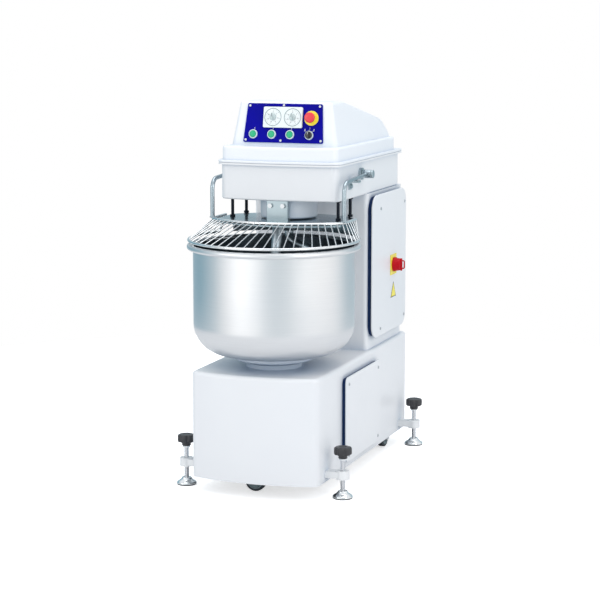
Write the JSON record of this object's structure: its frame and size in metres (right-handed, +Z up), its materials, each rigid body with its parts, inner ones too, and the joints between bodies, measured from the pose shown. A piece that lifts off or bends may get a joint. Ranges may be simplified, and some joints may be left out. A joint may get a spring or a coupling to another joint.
{
  "type": "spiral dough mixer",
  "caption": "Floor-standing spiral dough mixer with a turning stainless bowl, spiral hook, breaker bar, hinged wire guard, fixed head and push-button panel.",
  "frame": {"origin": "centre of the outer box in plan, on the floor under the levelling pads", "axes": "+X to the operator right as seen from the front, +Y to the rear column, +Z up"},
  "size_m": [0.7, 1.233, 1.438],
  "materials": {
    "white_paint": "satin powder coat",
    "cover_white": "smooth moulded",
    "frame_paint": "painted",
    "gasket": "matt foam rubber",
    "screw_steel": "bright zinc",
    "panel_blue": "satin printed",
    "module_white": "satin",
    "dial_white": "printed",
    "knob_grey": "satin",
    "bezel_light": "polished",
    "button_green": "glossy",
    "stop_yellow": "glossy",
    "stop_red": "glossy",
    "knob_black": "satin",
    "isolator_yellow": "glossy",
    "stainless": "brushed",
    "stainless_bright": "polished",
    "wire_steel": "electropolished",
    "cast_steel": "machined",
    "motor_paint": "painted",
    "belt_rubber": "matt",
    "rod_dark": "dark oxide",
    "pad_chrome": "plated",
    "wheel_rubber": "matt",
    "fork_zinc": "zinc plated",
    "board_parts": "mixed",
    "gland_black": "satin"
  },
  "bodies": {
    "chassis": {"base_housing": "white_paint", "base_frame": "frame_paint", "service_covers": "white_paint", "column_housing": "white_paint", "cabinet_door": "white_paint", "head_housing": "white_paint", "head_cover": "cover_white", "base_doors": "white_paint", "cover_gaskets": "gasket", "cover_screws": "screw_steel", "wiring_plate": "board_parts", "cable_gland": "gland_black", "caster_mounts": "fork_zinc", "control_panel": "panel_blue", "timer_module": "module_white", "timer_dials": "dial_white", "control_bezels": "bezel_light", "stop_base": "stop_yellow", "isolator_plate": "isolator_yellow", "collar": "white_paint", "drive_bearings": "cast_steel", "drive_motors": "motor_paint", "drive_belts": "belt_rubber", "spiral_housing": "white_paint", "breaker_bar": "stainless_bright", "breaker_block": "stainless_bright", "breaker_bolts": "screw_steel", "lid_plate": "stainless_bright", "lid_rods": "rod_dark", "guard_brackets": "stainless_bright"},
    "bowl": {"bowl": "stainless", "bowl_flange": "cover_white", "bowl_drive": "cast_steel"},
    "bowl_motor_pulley": {"bowl_motor_pulley": "cast_steel"},
    "spiral": {"spiral_hook": "stainless_bright", "spiral_drive": "cast_steel"},
    "spiral_motor_pulley": {"spiral_motor_pulley": "cast_steel"},
    "guard": {"guard_cage": "wire_steel", "guard_arms": "wire_steel"},
    "timer_knob_left": {"timer_knob_left": "knob_grey"},
    "timer_knob_right": {"timer_knob_right": "knob_grey"},
    "start_button_left": {"start_button_left": "button_green"},
    "start_button_middle": {"start_button_middle": "button_green"},
    "start_button_right": {"start_button_right": "button_green"},
    "stop_button": {"stop_button": "stop_red"},
    "selector_knob": {"selector_knob": "knob_black"},
    "isolator_handle": {"isolator_handle": "stop_red"},
    "caster_fork": {"caster_fork": "fork_zinc"},
    "caster_wheel_front": {"caster_wheel_front": "wheel_rubber"},
    "caster_wheel_right": {"caster_wheel_right": "wheel_rubber"},
    "caster_wheel_left": {"caster_wheel_left": "wheel_rubber"},
    "foot_pad_front_left": {"foot_pad_front_left": "pad_chrome"},
    "foot_screw_front_left": {"foot_screw_front_left": "knob_black"},
    "foot_pad_front_right": {"foot_pad_front_right": "pad_chrome"},
    "foot_screw_front_right": {"foot_screw_front_right": "knob_black"},
    "foot_pad_rear_left": {"foot_pad_rear_left": "pad_chrome"},
    "foot_screw_rear_left": {"foot_screw_rear_left": "knob_black"},
    "foot_pad_rear_right": {"foot_pad_rear_right": "pad_chrome"},
    "foot_screw_rear_right": {"foot_screw_rear_right": "knob_black"}
  },
  "joints": [
    {"name": "bowl_turn", "type": "hinge", "parent": "chassis", "child": "bowl", "pos_m": [0, -0.2915, 0.5], "axis": [0, 0, 1], "continuous": true},
    {"name": "bowl_motor_turn", "type": "hinge", "parent": "chassis", "child": "bowl_motor_pulley", "pos_m": [0, 0.1285, 0.209], "axis": [0, 0, 1], "continuous": true},
    {"name": "spiral_turn", "type": "hinge", "parent": "chassis", "child": "spiral", "pos_m": [0, -0.1265, 1], "axis": [0, 0, 1], "continuous": true},
    {"name": "spiral_motor_turn", "type": "hinge", "parent": "chassis", "child": "spiral_motor_pulley", "pos_m": [0, 0.3285, 1.245], "axis": [0, 0, 1], "continuous": true},
    {"name": "guard_lift", "type": "hinge", "parent": "chassis", "child": "guard", "pos_m": [0, 0.0235, 1.16], "axis": [-1, 0, 0], "range_deg": [0, 75]},
    {"name": "timer_left_turn", "type": "hinge", "parent": "chassis", "child": "timer_knob_left", "pos_m": [-0.043, -0.17386, 1.37971], "axis": [0, 0.9848, -0.1736], "range_deg": [0, 300]},
    {"name": "timer_right_turn", "type": "hinge", "parent": "chassis", "child": "timer_knob_right", "pos_m": [0.035, -0.17386, 1.37971], "axis": [0, 0.9848, -0.1736], "range_deg": [0, 300]},
    {"name": "start_left_press", "type": "slide", "parent": "chassis", "child": "start_button_left", "axis": [0, 0.9848, -0.1736], "range_m": [0, 0.003], "stiffness_N_per_m": 400},
    {"name": "start_middle_press", "type": "slide", "parent": "chassis", "child": "start_button_middle", "axis": [0, 0.9848, -0.1736], "range_m": [0, 0.003], "stiffness_N_per_m": 400},
    {"name": "start_right_press", "type": "slide", "parent": "chassis", "child": "start_button_right", "axis": [0, 0.9848, -0.1736], "range_m": [0, 0.003], "stiffness_N_per_m": 400},
    {"name": "stop_press", "type": "slide", "parent": "chassis", "child": "stop_button", "axis": [0, 0.9848, -0.1736], "range_m": [0, 0.005]},
    {"name": "selector_turn", "type": "hinge", "parent": "chassis", "child": "selector_knob", "pos_m": [0.102, -0.18515, 1.3157], "axis": [0, 0.9848, -0.1736], "range_deg": [-45, 45]},
    {"name": "isolator_turn", "type": "hinge", "parent": "chassis", "child": "isolator_handle", "pos_m": [0.258, 0.3925, 0.766], "axis": [1, 0, 0], "range_deg": [0, 90]},
    {"name": "foot_front_left_extend", "type": "slide", "parent": "chassis", "child": "foot_pad_front_left", "axis": [0, 0, -1], "range_m": [0, 0.015]},
    {"name": "foot_front_left_turn", "type": "hinge", "parent": "foot_pad_front_left", "child": "foot_screw_front_left", "pos_m": [-0.312, -0.4075, 0.1], "axis": [0, 0, -1], "range_deg": [0, 1350]},
    {"name": "foot_front_right_extend", "type": "slide", "parent": "chassis", "child": "foot_pad_front_right", "axis": [0, 0, -1], "range_m": [0, 0.015]},
    {"name": "foot_front_right_turn", "type": "hinge", "parent": "foot_pad_front_right", "child": "foot_screw_front_right", "pos_m": [0.312, -0.4075, 0.1], "axis": [0, 0, -1], "range_deg": [0, 1350]},
    {"name": "foot_rear_left_extend", "type": "slide", "parent": "chassis", "child": "foot_pad_rear_left", "axis": [0, 0, -1], "range_m": [0, 0.015]},
    {"name": "foot_rear_left_turn", "type": "hinge", "parent": "foot_pad_rear_left", "child": "foot_screw_rear_left", "pos_m": [-0.312, 0.5185, 0.1], "axis": [0, 0, -1], "range_deg": [0, 1350]},
    {"name": "foot_rear_right_extend", "type": "slide", "parent": "chassis", "child": "foot_pad_rear_right", "axis": [0, 0, -1], "range_m": [0, 0.015]},
    {"name": "foot_rear_right_turn", "type": "hinge", "parent": "foot_pad_rear_right", "child": "foot_screw_rear_right", "pos_m": [0.312, 0.5185, 0.1], "axis": [0, 0, -1], "range_deg": [0, 1350]},
    {"name": "caster_swivel", "type": "hinge", "parent": "chassis", "child": "caster_fork", "pos_m": [0, -0.4285, 0.092], "axis": [0, 0, 1], "continuous": true},
    {"name": "caster_front_roll", "type": "hinge", "parent": "caster_fork", "child": "caster_wheel_front", "pos_m": [-0.022, -0.4285, 0.044], "axis": [0, 1, 0], "continuous": true},
    {"name": "caster_right_roll", "type": "hinge", "parent": "chassis", "child": "caster_wheel_right", "pos_m": [0.205, 0.4285, 0.044], "axis": [1, 0, 0], "continuous": true},
    {"name": "caster_left_roll", "type": "hinge", "parent": "chassis", "child": "caster_wheel_left", "pos_m": [-0.205, 0.4285, 0.044], "axis": [1, 0, 0], "continuous": true}
  ],
  "couplings": [
    {"joint": "bowl_motor_turn", "follows": "bowl_turn", "ratio": 3.6842},
    {"joint": "spiral_motor_turn", "follows": "spiral_turn", "ratio": 2.5},
    {"joint": "foot_front_left_turn", "follows": "foot_front_left_extend", "rad_per_m": 1570.8},
    {"joint": "foot_front_right_turn", "follows": "foot_front_right_extend", "rad_per_m": 1570.8},
    {"joint": "foot_rear_left_turn", "follows": "foot_rear_left_extend", "rad_per_m": 1570.8},
    {"joint": "foot_rear_right_turn", "follows": "foot_rear_right_extend", "rad_per_m": 1570.8}
  ]
}
